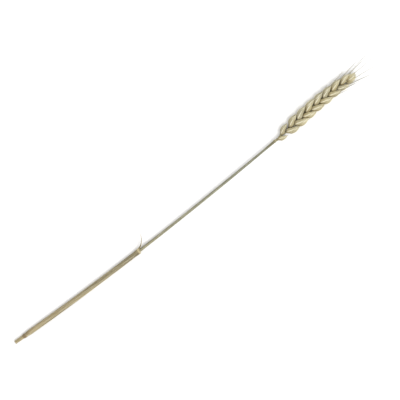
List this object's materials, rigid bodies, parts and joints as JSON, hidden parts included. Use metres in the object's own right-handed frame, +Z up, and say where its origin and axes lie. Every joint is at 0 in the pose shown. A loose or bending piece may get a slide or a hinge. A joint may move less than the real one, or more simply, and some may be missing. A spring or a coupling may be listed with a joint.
{
  "type": "wheat ear on its straw",
  "caption": "Ripe wheat ear on its dried straw with a leaf sheath, as cut, lying on its side; two rows of husked spikelets and short awns.",
  "frame": {"origin": "on the ground under the middle of the bounding box", "axes": "+X along the straw towards the ear's tip, +Z up as it lies"},
  "size_m": [0.402, 0.0182, 0.0088],
  "materials": {
    "husk": "dry papery husk, matt with a faint silky sheen",
    "straw": "dry ribbed straw, slightly waxy",
    "sheath": "dry ribbed leaf, matt"
  },
  "bodies": {
    "root": {"ear": "husk", "straw": "straw", "leaf_sheath": "sheath"}
  },
  "joints": []
}
